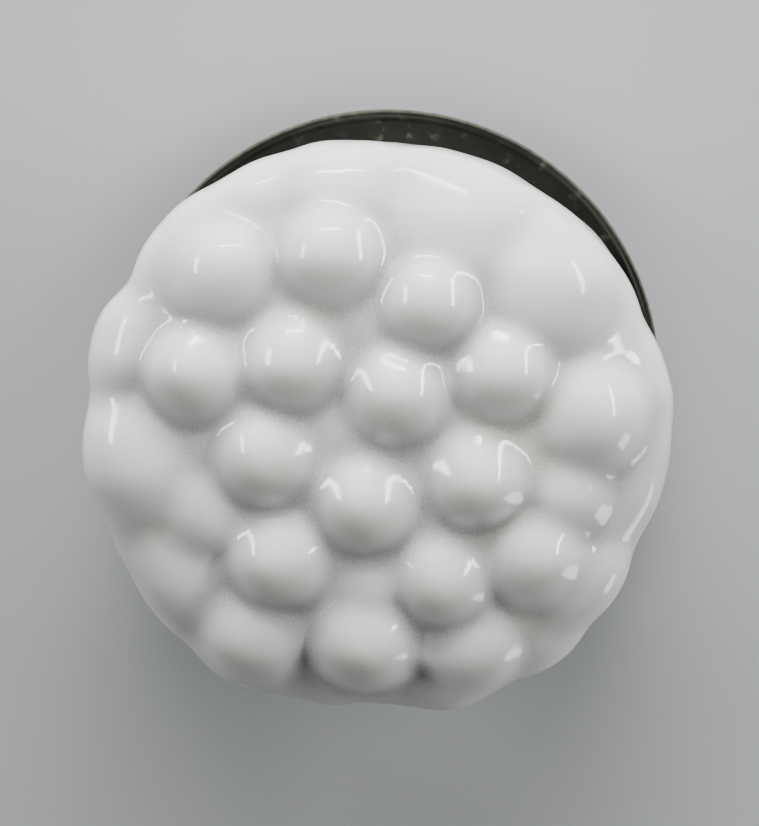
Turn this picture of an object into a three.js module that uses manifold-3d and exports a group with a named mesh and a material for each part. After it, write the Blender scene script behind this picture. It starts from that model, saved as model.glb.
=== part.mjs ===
// Covered pin-holder flower frog. A pin holder stands in the well of a spun brass dish, and a hollow
// ceramic cover shaped like a heap of round pebbles lifts off it. Millimetres, +Z up, base down. The
// origin is at the centre of the felt's underside.
import * as THREE from 'three';
import { mergeVertices } from 'three/addons/utils/BufferGeometryUtils.js';
import Module from 'manifold-3d';

const wasm = await Module();
wasm.setup();

// ---------- driving dimensions ----------

const SEAT_GAP = 0.3;           // air between two pieces that rest on each other

const FELT_THICKNESS = 1.5;
const FELT_INSET = 3;           // the felt stops this far inside the well's outer wall

const SHEET = 0.8;              // brass sheet of the dish
const WELL_DEPTH = 10.5;        // from the flange's face down to the well's floor
const WELL_DRAFT = 1;           // the floor's radius is this much smaller than the mouth's
const WELL_BEND = 2.2;          // inside bend at the floor
const MOUTH_BEND = 0.5;         // inside bend where the well turns into the flange, on the back
const FLANGE_WIDTH = 10;        // from the well's mouth to the outside of the rolled edge
const WIRE_RADIUS = 0.7;
const WIRE_CLEARANCE = 0.3;     // between the wire and the sheet that is rolled round it
const ROLL_SWEEP = 250;         // degrees of sheet round the wire

const PUTTY_INSET = 5;          // the putty stops this far inside the pin holder
const PUTTY_THICKNESS = 1.4;

const HOLDER_RADIUS = 29;       // cast lead of the pin holder
const HOLDER_HEIGHT = 8;
const HOLDER_CHAMFER = 0.8;

const PLATE_INSET = 0.8;        // the brass plate is this much smaller than the lead
const PLATE_THICKNESS = 1.2;
const PIN_RADIUS = 0.7;
const PIN_HEIGHT = 17;          // above the plate
const PIN_POINT = 2.4;          // length of the cone at a pin's tip
const PIN_PITCH = 4.8;
const PIN_MARGIN = 1.8;         // from the outermost pins to the plate's edge
const PIN_ROOT = 0.5;           // how far a pin runs down into the plate

const SLEEVE_WALL = 1.2;
const SLEEVE_LIFT = 0.9;        // the sleeve's lower edge above the well's floor
const SLEEVE_STAND = 0.9;       // the sleeve's upper edge above the plate

const GASKET_THICKNESS = 1.5;
const GASKET_LIP_WALL = 1;
const GASKET_LIP_DEPTH = 4;     // how far the lip reaches below the flange's face
const GASKET_CLEARANCE = 0.9;   // between the lip and the well's wall
const SLEEVE_CLEARANCE = 0.6;   // between the lip and the rubber sleeve

const FOOT_WIDTH = 3.4;
const BELLY_OVERHANG = 8.7;     // how far the cover's widest level, without pebbles, stands past its foot
const BELLY_HEIGHT = 34;        // above the foot
const CROWN_RISE = 11.5;        // from the widest level up to the middle of the crown
const CROWN_SQUARENESS = 2.4;   // 2 is an ellipse, more is a flatter crown with a rounder shoulder
const COVER_WALL = 4.5;
const BELLY_SHIFT = [-1.2, -0.6]; // the hand-made body leans this far off its foot, in X and Y
const PLAIN_BAND = 11;          // pebbles fade in over this height above the foot
const PEBBLE_BLEND = 0.8;       // how softly pebbles run into each other
const PEBBLE_FALL = 1.5;        // how softly a pebble's flank runs out: 1 would leave a crease

// Pebbles of the crown: degrees round from +X, share of the way from the middle out to the widest
// level, radius of the foot, height.
const CROWN_PEBBLES = [
  [69, 0.17, 8.8, 4.2], [257, 0.24, 8.9, 4.4], [337, 0.37, 9, 4.4], [28, 0.49, 8.9, 4.1],
  [70, 0.51, 8.7, 4.2], [105, 0.67, 9.4, 4.3], [139, 0.41, 8.9, 4.2], [190, 0.41, 8.8, 4.2],
  [231, 0.57, 9, 4.2], [293, 0.56, 8.6, 3.9], [321, 0.7, 9.4, 3.7], [342, 0.7, 7.6, 2],
  [5, 0.76, 10.2, 3.7], [41, 0.81, 11.5, 3], [134, 0.82, 10, 3.6], [161, 0.69, 9, 4],
  [266, 0.75, 9.2, 4.1], [238, 0.88, 9.7, 3.7], [293, 0.86, 9, 2.9], [322, 0.94, 9.5, 2],
  [267, 0.54, 6, 1.3], [204, 0.69, 7.6, 1.5], [188, 0.94, 12.5, 3], [216, 0.93, 10.5, 1.8],
  [68, 0.8, 12, 1.1], [99, 0.9, 9, 1], [50, 0.93, 4.5, 0.7], [281, 0.81, 3.2, 0.8],
];

// Pebbles of the shoulder and belly: degrees round from +X, share of the widest level's height,
// radius, height.
const SIDE_PEBBLES = [
  [162, 0.97, 11.5, 2.9], [176, 0.96, 9, 1.1], [206, 0.98, 10, 1.2], [223, 1, 10, 1.8],
  [240, 0.97, 12.5, 2.7], [257, 0.9, 9, 1.4], [287, 1, 11, 2.2], [307, 0.94, 11, 2.6],
  [136, 0.97, 13.5, 2.5], [119, 0.97, 10, 1.7], [103, 0.96, 13, 1], [37, 0.95, 14, 0.6],
  [350, 0.94, 12, 1.1], [7, 0.91, 12.5, 1.6], [176, 0.58, 9.5, 2.2], [206, 0.6, 9.5, 2.4],
  [233, 0.56, 9.5, 2.3], [262, 0.59, 9.5, 1.6], [288, 0.55, 9.5, 2.2], [315, 0.6, 9.5, 2],
  [342, 0.58, 9.5, 1.4], [10, 0.56, 9.5, 1.4], [38, 0.59, 9.5, 0.8], [121, 0.6, 9.5, 1.4],
  [148, 0.56, 9.5, 1.9],
];

// How finely round forms are divided.
const ROUND_SEGMENTS = 48;
const COVER_SEGMENTS = 88;
const COVER_STEPS = { wall: 12, crown: 22, insideCrown: 8, insideWall: 5 };
const PIN_SIDES = 6;
const BEND_STEPS = 3;
const TIGHT_BEND_STEPS = 2;
const ROLL_STEPS = { face: 10, back: 8 };
const WIRE_STEPS = 8;
const SLEEVE_TOP_STEPS = 4;

// ---------- levels and radii that follow ----------

const sleeveInside = HOLDER_RADIUS + SEAT_GAP;
const sleeveOutside = sleeveInside + SLEEVE_WALL;
const gasketInside = sleeveOutside + SLEEVE_CLEARANCE;
const lipOutside = gasketInside + GASKET_LIP_WALL;
const wellRadius = lipOutside + GASKET_CLEARANCE;
const wellFloorRadius = wellRadius - WELL_DRAFT;
const wellOutsideRadius = wellFloorRadius + SHEET;
const flangeRadius = wellRadius + FLANGE_WIDTH;
const footRadius = gasketInside + FOOT_WIDTH;
const bellyRadius = footRadius + BELLY_OVERHANG;

const dishUnderside = FELT_THICKNESS + SEAT_GAP;
const wellFloor = dishUnderside + SHEET;
const flangeFace = wellFloor + WELL_DEPTH;
const puttyBottom = wellFloor + SEAT_GAP;
const holderBottom = puttyBottom + PUTTY_THICKNESS + SEAT_GAP;
const plateBottom = holderBottom + HOLDER_HEIGHT + SEAT_GAP;
const plateTop = plateBottom + PLATE_THICKNESS;
const plateRadius = HOLDER_RADIUS - PLATE_INSET;
const rollInside = WIRE_RADIUS + WIRE_CLEARANCE;
const rollOutside = rollInside + SHEET;
const rollCentre = new THREE.Vector2(flangeRadius - rollOutside, flangeFace - rollOutside);
const gasketBottom = flangeFace + SEAT_GAP;
const footLevel = gasketBottom + GASKET_THICKNESS + SEAT_GAP;

// ---------- helpers ----------

// Points along a circle's arc, from one angle to another in degrees.
function arc(centre, radius, from, to, steps) {
  const points = [];
  for (let i = 0; i <= steps; i += 1) {
    const angle = THREE.MathUtils.degToRad(from + ((to - from) * i) / steps);
    points.push(new THREE.Vector2(centre.x + radius * Math.cos(angle), centre.y + radius * Math.sin(angle)));
  }
  return points;
}

const at = (radius, height) => new THREE.Vector2(radius, height);

// A solid of revolution about Z from a profile of (radius, height) points, listed anticlockwise.
function turned(profile, segments = ROUND_SEGMENTS, closed = false) {
  const points = closed ? [...profile, profile[0]] : profile;
  return new THREE.LatheGeometry(points, segments).rotateX(Math.PI / 2);
}

function disc(radius, bottom, thickness, chamfer = 0) {
  const top = bottom + thickness;
  const rim = chamfer > 0
    ? [at(radius, bottom), at(radius, top - chamfer), at(radius - chamfer, top)]
    : [at(radius, bottom), at(radius, top)];
  return turned([at(0, bottom), ...rim, at(0, top)]);
}

function toManifold(geometry) {
  const bare = geometry.clone();
  bare.deleteAttribute('normal');
  bare.deleteAttribute('uv');
  const merged = mergeVertices(bare, 1e-4);
  return new wasm.Manifold(new wasm.Mesh({
    numProp: 3,
    vertProperties: new Float32Array(merged.attributes.position.array),
    triVerts: new Uint32Array(merged.index.array),
  }));
}

function toGeometry(manifold) {
  const mesh = manifold.getMesh();
  const geometry = new THREE.BufferGeometry();
  geometry.setAttribute('position', new THREE.BufferAttribute(mesh.vertProperties, 3));
  geometry.setIndex(new THREE.BufferAttribute(mesh.triVerts, 1));
  geometry.computeVertexNormals();
  return geometry;
}

// ---------- dish ----------

// The sheet's path, face side: up the well, over the mouth, along the flange and round the wire.
function dishGeometry() {
  const floorBend = at(wellFloorRadius - WELL_BEND, wellFloor + WELL_BEND);
  const mouthBend = at(wellRadius + SHEET + MOUTH_BEND, flangeFace - SHEET - MOUTH_BEND);
  const face = [
    at(0, wellFloor),
    ...arc(floorBend, WELL_BEND, -90, 0, BEND_STEPS),
    ...arc(mouthBend, SHEET + MOUTH_BEND, 180, 90, BEND_STEPS),
    ...arc(rollCentre, rollOutside, 90, 90 - ROLL_SWEEP, ROLL_STEPS.face),
  ];
  const back = [
    ...arc(rollCentre, rollInside, 90 - ROLL_SWEEP, 90, ROLL_STEPS.back),
    ...arc(mouthBend, MOUTH_BEND, 90, 180, TIGHT_BEND_STEPS),
    ...arc(floorBend, WELL_BEND + SHEET, 0, -90, BEND_STEPS),
    at(0, dishUnderside),
  ];
  return turned([...face, ...back].reverse());
}

function wireGeometry() {
  const lastTurn = 360 - 360 / WIRE_STEPS;
  return turned(arc(rollCentre, WIRE_RADIUS, 0, lastTurn, WIRE_STEPS - 1), ROUND_SEGMENTS, true);
}

// ---------- pin holder ----------

// Middles of the pins: rows of equal pitch, every second row half a pitch along.
function pinCentres() {
  const centres = [];
  const reach = plateRadius - PIN_MARGIN;
  const rowPitch = PIN_PITCH * Math.sqrt(3) / 2;
  const rows = Math.floor(reach / rowPitch);
  const columns = Math.ceil(reach / PIN_PITCH);
  for (let row = -rows; row <= rows; row += 1) {
    const shift = row % 2 === 0 ? 0 : PIN_PITCH / 2;
    for (let column = -columns; column <= columns; column += 1) {
      const centre = at(column * PIN_PITCH + shift, row * rowPitch);
      if (centre.length() <= reach) {
        centres.push(centre);
      }
    }
  }
  return centres;
}

function pinBedGeometry() {
  const pinProfile = [
    at(0, plateTop - PIN_ROOT),
    at(PIN_RADIUS, plateTop - PIN_ROOT),
    at(PIN_RADIUS, plateTop + PIN_HEIGHT - PIN_POINT),
    at(0, plateTop + PIN_HEIGHT),
  ];
  const pin = toManifold(turned(pinProfile, PIN_SIDES));
  let bed = toManifold(disc(plateRadius, plateBottom, PLATE_THICKNESS));
  for (const centre of pinCentres()) {
    bed = bed.add(pin.translate([centre.x, centre.y, 0]));
  }
  return toGeometry(bed);
}

function sleeveGeometry() {
  const bottom = wellFloor + SLEEVE_LIFT;
  const top = plateTop + SLEEVE_STAND;
  const round = SLEEVE_WALL / 2;
  return turned([
    at(sleeveInside, bottom),
    at(sleeveOutside, bottom),
    ...arc(at(sleeveInside + round, top - round), round, 0, 180, SLEEVE_TOP_STEPS),
  ], ROUND_SEGMENTS, true);
}

// ---------- cover ----------

function gasketGeometry() {
  const top = gasketBottom + GASKET_THICKNESS;
  return turned([
    at(gasketInside, flangeFace - GASKET_LIP_DEPTH),
    at(lipOutside, flangeFace - GASKET_LIP_DEPTH),
    at(lipOutside, gasketBottom),
    at(footRadius, gasketBottom),
    at(footRadius, top),
    at(gasketInside, top),
  ], ROUND_SEGMENTS, true);
}

// The plain body under the pebbles: its radius at a level of the wall, below the widest level...
function wallRadius(height) {
  return footRadius + (bellyRadius - footRadius) * Math.sin((Math.PI / 2) * (height / BELLY_HEIGHT));
}

// ...and its height over the foot at a radius of the crown, above it.
function crownHeight(radius) {
  const share = Math.min(radius / bellyRadius, 1) ** CROWN_SQUARENESS;
  return BELLY_HEIGHT + CROWN_RISE * (1 - share) ** (1 / CROWN_SQUARENESS);
}

// The outside from foot to crown, as (radius, height over the foot).
function plainOutside() {
  const wall = [];
  for (let i = 0; i <= COVER_STEPS.wall; i += 1) {
    const height = (BELLY_HEIGHT * i) / COVER_STEPS.wall;
    wall.push(at(wallRadius(height), height));
  }
  const crown = [];
  for (let i = 1; i <= COVER_STEPS.crown; i += 1) {
    const turn = (Math.PI / 2) * (i / COVER_STEPS.crown);
    const radius = i === COVER_STEPS.crown ? 0 : bellyRadius * Math.cos(turn);
    crown.push(at(radius, crownHeight(radius)));
  }
  return [...wall, ...crown];
}

// The same outline moved in by the wall, from crown to foot.
function plainInside() {
  const mouth = footRadius - FOOT_WIDTH;
  const widest = bellyRadius - COVER_WALL;
  const widestHeight = BELLY_HEIGHT - COVER_WALL / 2;
  const rise = CROWN_RISE - COVER_WALL / 2;
  const points = [];
  for (let i = 0; i < COVER_STEPS.insideCrown; i += 1) {
    const share = Math.sin((Math.PI / 2) * (i / COVER_STEPS.insideCrown));
    const height = rise * (1 - share ** CROWN_SQUARENESS) ** (1 / CROWN_SQUARENESS);
    points.push(at(widest * share, widestHeight + height));
  }
  for (let i = 0; i <= COVER_STEPS.insideWall; i += 1) {
    const up = 1 - i / COVER_STEPS.insideWall;
    points.push(at(mouth + (widest - mouth) * Math.sin((Math.PI / 2) * up), widestHeight * up));
  }
  return points;
}

// Where each pebble's middle stands on the plain body.
function pebbleList() {
  const crown = CROWN_PEBBLES.map(([degrees, share, radius, height]) => {
    const out = share * bellyRadius;
    return { degrees, out, level: crownHeight(out), radius, height };
  });
  const side = SIDE_PEBBLES.map(([degrees, share, radius, height]) => {
    const level = share * BELLY_HEIGHT;
    return { degrees, out: wallRadius(level), level, radius, height };
  });
  return [...crown, ...side].map(({ degrees, out, level, radius, height }) => {
    const turn = THREE.MathUtils.degToRad(degrees);
    const middle = new THREE.Vector3(out * Math.cos(turn), out * Math.sin(turn), level);
    return { middle, radius, height };
  });
}

// How far the surface stands out at a point of the plain body: the highest pebble there, with soft
// valleys. A pebble is a low bell that is level at its top and where it runs out.
function pebbleLift(point, pebbles) {
  let total = 1;
  for (const { middle, radius, height } of pebbles) {
    const away = Math.min(point.distanceTo(middle) / radius, 1);
    const bell = height * (1 - away * away) ** PEBBLE_FALL;
    total += Math.expm1(bell / PEBBLE_BLEND);
  }
  return PEBBLE_BLEND * Math.log(total);
}

function coverGeometry() {
  const inside = plainInside();
  const profile = [...inside, ...plainOutside()];
  const geometry = turned(profile, COVER_SEGMENTS);
  const pebbles = pebbleList();
  const position = geometry.attributes.position;
  const normal = geometry.attributes.normal;
  const point = new THREE.Vector3();
  const outward = new THREE.Vector3();
  for (let i = 0; i < position.count; i += 1) {
    const step = i % profile.length;
    point.fromBufferAttribute(position, i);
    outward.fromBufferAttribute(normal, i);
    if (step === profile.length - 1) {
      outward.set(0, 0, 1);
    }
    const lean = THREE.MathUtils.smoothstep(point.z, 0, BELLY_HEIGHT);
    if (step >= inside.length) {
      const clearOfFoot = THREE.MathUtils.smoothstep(point.z, 0, PLAIN_BAND);
      point.addScaledVector(outward, pebbleLift(point, pebbles) * clearOfFoot);
    }
    point.x += BELLY_SHIFT[0] * lean;
    point.y += BELLY_SHIFT[1] * lean;
    position.setXYZ(i, point.x, point.y, point.z + footLevel);
  }
  return toGeometry(toManifold(geometry));
}

// ---------- assembly ----------

const GLAZE = { color: 0xe9e9e6, roughness: 0.08, metalness: 0 };
const PATINA = { color: 0x33352f, roughness: 0.45, metalness: 0.8 };
const BRASS = { color: 0xb39a5a, roughness: 0.35, metalness: 1 };
const LEAD = { color: 0x6c6e70, roughness: 0.65, metalness: 0.8 };
const RUBBER = { color: 0x1c1c1c, roughness: 0.75, metalness: 0 };
const SILICONE = { color: 0xd9d9d2, roughness: 0.5, metalness: 0 };
const PUTTY = { color: 0x5f6f55, roughness: 0.85, metalness: 0 };
const FELT = { color: 0x24402f, roughness: 0.95, metalness: 0 };

function piece(name, geometry, finish) {
  const mesh = new THREE.Mesh(geometry, new THREE.MeshStandardMaterial(finish));
  mesh.name = name;
  return mesh;
}

const flowerFrog = new THREE.Group();
flowerFrog.add(
  piece('felt_pad', disc(wellOutsideRadius - FELT_INSET, 0, FELT_THICKNESS), FELT),
  piece('base_dish', dishGeometry(), PATINA),
  piece('rim_wire', wireGeometry(), BRASS),
  piece('setting_putty', disc(HOLDER_RADIUS - PUTTY_INSET, puttyBottom, PUTTY_THICKNESS), PUTTY),
  piece('lead_weight', disc(HOLDER_RADIUS, holderBottom, HOLDER_HEIGHT, HOLDER_CHAMFER), LEAD),
  piece('pin_bed', pinBedGeometry(), BRASS),
  piece('rubber_sleeve', sleeveGeometry(), RUBBER),
  piece('cover_gasket', gasketGeometry(), SILICONE),
  piece('glazed_cover', coverGeometry(), GLAZE),
);

export default flowerFrog;
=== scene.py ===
"""A covered flower frog: a pebble-shaped glazed cover over a pin holder in a spun brass dish."""

import math

import bmesh
import bpy
import numpy as np
from mathutils import Matrix, Vector


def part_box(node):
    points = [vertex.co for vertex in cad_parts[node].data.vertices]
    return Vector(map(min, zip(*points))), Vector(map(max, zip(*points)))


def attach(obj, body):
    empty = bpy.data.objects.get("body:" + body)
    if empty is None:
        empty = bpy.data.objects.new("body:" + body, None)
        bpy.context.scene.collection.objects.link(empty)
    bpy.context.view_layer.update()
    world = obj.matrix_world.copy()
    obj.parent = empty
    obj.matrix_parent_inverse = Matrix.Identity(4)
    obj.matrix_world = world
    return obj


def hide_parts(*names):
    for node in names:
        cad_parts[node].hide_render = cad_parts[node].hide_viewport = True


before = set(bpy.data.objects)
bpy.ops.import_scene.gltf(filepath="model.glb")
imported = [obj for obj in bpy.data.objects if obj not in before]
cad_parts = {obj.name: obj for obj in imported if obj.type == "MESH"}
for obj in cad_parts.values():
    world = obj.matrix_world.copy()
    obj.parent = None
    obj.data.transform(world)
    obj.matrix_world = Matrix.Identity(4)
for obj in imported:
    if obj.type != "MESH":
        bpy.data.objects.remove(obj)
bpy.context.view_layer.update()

bl_info = {
    "name": "Covered flower frog",
    "version": (1, 0, 0),
    "blender": (4, 5, 0),
    "location": "View3D > Sidebar > Flower frog",
    "description": "Builds a pebble-covered flower frog: glazed cover, brass dish and pin holder",
    "category": "Add Mesh",
}

MM = 0.001

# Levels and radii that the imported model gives.
DISH_LOW, DISH_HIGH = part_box("base_dish")
GASKET_LOW, GASKET_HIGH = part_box("cover_gasket")
COVER_LOW, COVER_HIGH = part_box("glazed_cover")
PINS_LOW, PINS_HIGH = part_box("pin_bed")
LEAD_LOW, LEAD_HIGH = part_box("lead_weight")
SLEEVE_LOW, SLEEVE_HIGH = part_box("rubber_sleeve")
PUTTY_LOW, PUTTY_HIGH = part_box("setting_putty")
WIRE_LOW, WIRE_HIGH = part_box("rim_wire")
FELT_LOW, FELT_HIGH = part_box("felt_pad")

FOOT_LEVEL = COVER_LOW.z
FLANGE_FACE = DISH_HIGH.z
FOOT_RADIUS = GASKET_HIGH.x

# Pebbles of the crown: degrees round from +X, share of the way from the middle out to the widest
# level, radius of the foot and height in millimetres.
CROWN_PEBBLES = [
    (69, 0.17, 8.8, 4.2), (257, 0.24, 8.9, 4.4), (337, 0.37, 9, 4.4), (28, 0.49, 8.9, 4.1),
    (70, 0.51, 8.7, 4.2), (105, 0.67, 9.4, 4.3), (139, 0.41, 8.9, 4.2), (190, 0.41, 8.8, 4.2),
    (231, 0.57, 9, 4.2), (293, 0.56, 8.6, 3.9), (321, 0.7, 9.4, 3.7), (342, 0.7, 7.6, 2),
    (5, 0.76, 10.2, 3.7), (41, 0.81, 11.5, 3), (134, 0.82, 10, 3.6), (161, 0.69, 9, 4),
    (266, 0.75, 9.2, 4.1), (238, 0.88, 9.7, 3.7), (293, 0.86, 9, 2.9), (322, 0.94, 9.5, 2),
    (267, 0.54, 6, 1.3), (204, 0.69, 7.6, 1.5), (188, 0.94, 12.5, 3), (216, 0.93, 10.5, 1.8),
    (68, 0.8, 12, 1.1), (99, 0.9, 9, 1), (50, 0.93, 4.5, 0.7), (281, 0.81, 3.2, 0.8),
]

# Pebbles of the shoulder and belly: degrees round from +X, share of the widest level's height,
# radius and height in millimetres.
SIDE_PEBBLES = [
    (162, 0.97, 11.5, 2.9), (176, 0.96, 9, 1.1), (206, 0.98, 10, 1.2), (223, 1, 10, 1.8),
    (240, 0.97, 12.5, 2.7), (257, 0.9, 9, 1.4), (287, 1, 11, 2.2), (307, 0.94, 11, 2.6),
    (136, 0.97, 13.5, 2.5), (119, 0.97, 10, 1.7), (103, 0.96, 13, 1), (37, 0.95, 14, 0.6),
    (350, 0.94, 12, 1.1), (7, 0.91, 12.5, 1.6), (176, 0.58, 9.5, 2.2), (206, 0.6, 9.5, 2.4),
    (233, 0.56, 9.5, 2.3), (262, 0.59, 9.5, 1.6), (288, 0.55, 9.5, 2.2), (315, 0.6, 9.5, 2),
    (342, 0.58, 9.5, 1.4), (10, 0.56, 9.5, 1.4), (38, 0.59, 9.5, 0.8), (121, 0.6, 9.5, 1.4),
    (148, 0.56, 9.5, 1.9),
]


# ---------- colours and numbers ----------

def linear(hex_colour, alpha=None):
    """Turn an sRGB hex colour into linear numbers, with alpha where one is asked for."""
    parts = [int(hex_colour[i:i + 2], 16) / 255 for i in (1, 3, 5)]
    values = [c / 12.92 if c <= 0.04045 else ((c + 0.055) / 1.055) ** 2.4 for c in parts]
    return tuple(values) if alpha is None else (*values, alpha)


def smoothstep(values, low, high):
    """Rise from 0 to 1 between two limits, level at both ends."""
    share = np.clip((values - low) / (high - low), 0.0, 1.0)
    return share * share * (3.0 - 2.0 * share)


# ---------- settings a user would change ----------

def length(name, description, millimetres):
    """A length property, kept in metres and shown in the scene's unit."""
    return bpy.props.FloatProperty(
        name=name, description=description, default=millimetres * MM, min=0.0, subtype="DISTANCE",
        unit="LENGTH", precision=4)


def colour(name, description, hex_colour):
    """A colour property, given as sRGB hex."""
    return bpy.props.FloatVectorProperty(
        name=name, description=description, default=linear(hex_colour), min=0.0, max=1.0, size=3,
        subtype="COLOR")


class FrogCoverSettings(bpy.types.PropertyGroup):
    """Sizes and glaze of the pebbled cover."""

    belly_overhang: length("Belly overhang", "How far the widest level stands past the foot", 8.7)
    belly_height: length("Belly height", "From the foot to the widest level", 34.0)
    crown_rise: length("Crown rise", "From the widest level to the middle of the crown", 11.5)
    crown_squareness: bpy.props.FloatProperty(
        name="Crown squareness", description="2 is an ellipse, more is a flatter crown",
        default=2.4, min=2.0, max=5.0)
    foot_width: length("Foot width", "Width of the bare foot ring", 3.4)
    wall: length("Wall", "Thickness of the cast wall", 4.5)
    lean_x: bpy.props.FloatProperty(
        name="Lean X", description="How far the body leans off its foot along X",
        default=-1.2 * MM, subtype="DISTANCE", unit="LENGTH")
    lean_y: bpy.props.FloatProperty(
        name="Lean Y", description="How far the body leans off its foot along Y",
        default=-0.6 * MM, subtype="DISTANCE", unit="LENGTH")
    pebble_blend: length("Pebble blend", "How softly pebbles run into each other", 0.8)
    pebble_fall: bpy.props.FloatProperty(
        name="Pebble fall", description="How softly a pebble's flank runs out",
        default=1.5, min=1.0, max=4.0)
    unevenness: length("Unevenness", "Hand-made wobble of the surface", 0.28)
    plain_band: length("Plain band", "Pebbles fade in over this height above the foot", 11.0)
    valley_reach: length("Valley reach", "How far round a point its valley is judged", 5.0)
    valley_depth: length("Valley depth", "Rise round a point between a top and a valley", 4.0)
    rings: bpy.props.IntProperty(
        name="Rings", description="Rings of faces from the crown to the foot", default=108, min=16)
    relaxing: bpy.props.IntProperty(
        name="Relaxing", description="Passes that even out the faces", default=60, min=0)
    glaze: colour("Glaze", "White opaque glaze where it is of even thickness", "#EDEDEB")
    thin_glaze: colour("Thin glaze", "Where the glaze breaks thin over an edge", "#F0EEE5")
    # The two valley greys below stand for pooling glaze and are also painted shade in the valleys.
    pooled_glaze_and_shade: colour("Pooled glaze", "Where the glaze pools in the valleys", "#BEC0BD")
    warm_glaze_and_shade: colour("Warm glaze", "Pooled glaze that iron in the clay has warmed", "#C3C3BA")
    clay: colour("Clay", "Bare fired clay of the foot ring", "#CBBFA9")


class FrogDishSettings(bpy.types.PropertyGroup):
    """Sizes and patina of the spun dish, with its wire and felt."""

    sheet: length("Sheet", "Thickness of the brass sheet", 0.8)
    well_radius: length("Well radius", "Inside of the well at its mouth", 33.0)
    well_draft: length("Well draft", "How much smaller the well's floor is", 1.0)
    well_bend: length("Well bend", "Inside bend at the floor", 2.2)
    mouth_bend: length("Mouth bend", "Inside bend of the well into the flange", 0.5)
    wire_clearance: length("Wire clearance", "Between the wire and the sheet round it", 0.3)
    roll_sweep: bpy.props.FloatProperty(
        name="Roll sweep", description="How far the sheet goes round the wire",
        default=math.radians(250), subtype="ANGLE", unit="ROTATION")
    patina: colour("Patina", "Dark patina of the dish", "#262823")
    # The lighter tone of the roll's outer edge: wear of the patina and a painted highlight of the
    # roll.
    rubbed_and_highlit: colour("Rubbed brass", "Where the patina is rubbed thin on the edge", "#8B8B78")
    bloom: colour("Bloom", "Pale mineral bloom left by water", "#63675D")
    felt_raggedness: length("Felt raggedness", "How far the cut edge wanders", 0.08)
    felt: colour("Felt", "Felt under the dish", "#23402E")


class FrogHolderSettings(bpy.types.PropertyGroup):
    """Sizes and metals of the pin holder, with its sleeve, putty and gasket."""

    plate_thickness: length("Plate thickness", "Thickness of the brass plate", 1.2)
    pin_radius: length("Pin radius", "Radius of a pin's shank", 0.7)
    pin_point: length("Pin point", "Length of a pin's ground point", 2.4)
    pin_pitch: length("Pin pitch", "From pin to pin in a row", 4.8)
    pin_margin: length("Pin margin", "From the outermost pins to the plate's edge", 1.8)
    sleeve_wall: length("Sleeve wall", "Wall of the rubber sleeve", 1.2)
    lip_wall: length("Lip wall", "Wall of the gasket's lip", 1.0)
    gasket_thickness: length("Gasket thickness", "Thickness of the gasket under the foot", 1.5)
    gasket_clearance: length("Gasket clearance", "Between the sleeve and the gasket's lip", 0.6)
    gasket_edge: length("Gasket edge", "Rounding of the gasket's moulded edges", 0.35)
    lead_bevel: length("Lead bevel", "Bevel round the top of the cast lead", 0.8)
    metal_edge: length("Metal edge", "Rounding of the plate's and the lead's edges", 0.3)
    brass: colour("Brass", "Drawn brass of pins and plate", "#B59A58")
    tarnish: colour("Tarnish", "Tarnish of brass in the wet", "#6B5A33")
    lead: colour("Lead", "Oxide on the cast lead", "#6A6C6E")
    rubber: colour("Rubber", "Moulded rubber of the sleeve", "#1D1D1D")
    silicone: colour("Silicone", "Milky silicone of the gasket", "#D9D9D2")
    putty: colour("Putty", "Florist's putty", "#5C6B50")


class FrogStageSettings(bpy.types.PropertyGroup):
    """Floor, lights and camera."""

    floor: colour("Floor", "Pale floor", "#B9BCBE")
    camera_distance: length("Camera distance", "From the camera to the cover's widest level", 900.0)
    camera_tilt: bpy.props.FloatProperty(
        name="Camera tilt", description="How far the camera leans off the object's axis",
        default=math.radians(10.6), subtype="ANGLE", unit="ROTATION")
    view_height: length("View height", "Height of what the camera takes in", 125.7)
    aim_left: length("Aim left", "How far left of the object's axis the camera aims", 1.3)
    aim_above: length("Aim above", "How far above the widest level the camera aims", 1.5)
    light: bpy.props.FloatProperty(
        name="Light", description="Scales all the studio lights", default=1.0, min=0.0)


# ---------- materials ----------

# Second tones of the finishes, in sRGB hex.
PINHOLE_BROWN = "#8F8A78"
GROG_BROWN = "#8A7558"
PATINA_SHADOW = "#1B1D18"
LEAD_OXIDE = "#8E9296"
RUBBER_DUST = "#4A4A48"
SILICONE_CREAM = "#CFCDBF"
PUTTY_SHADOW = "#46543D"
FELT_SHADOW = "#182D20"
FELT_SHEEN = "#9DB3A4"
FLOOR_CLOUD = "#A8ABAD"
ROOM_GREY = "#D5D8DA"


def add_node(tree, kind, inputs=None, output=0, **settings):
    """Add one shader node with its own settings and its input values or links, and give back one of
    its outputs."""
    node = tree.nodes.new(kind)
    for key, value in settings.items():
        setattr(node, key, value)
    for key, value in (inputs or {}).items():
        if isinstance(value, bpy.types.NodeSocket):
            tree.links.new(value, node.inputs[key])
        else:
            node.inputs[key].default_value = value
    return node.outputs[output]


def new_material(name, **shader_values):
    """A material with a Principled shader, whose constant values sit on the shader itself."""
    material = bpy.data.materials.new(name)
    material.use_nodes = True
    shader = material.node_tree.nodes["Principled BSDF"]
    for key, value in shader_values.items():
        shader.inputs[key.replace("_", " ")].default_value = value
    return material, material.node_tree, shader


def opaque(values):
    """A colour property's three numbers as a colour socket's four."""
    return (values[0], values[1], values[2], 1.0)


def lumps(millimetres):
    """The scale at which a noise's lumps are about this wide on the object."""
    return 1.0 / (millimetres * MM)


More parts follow.
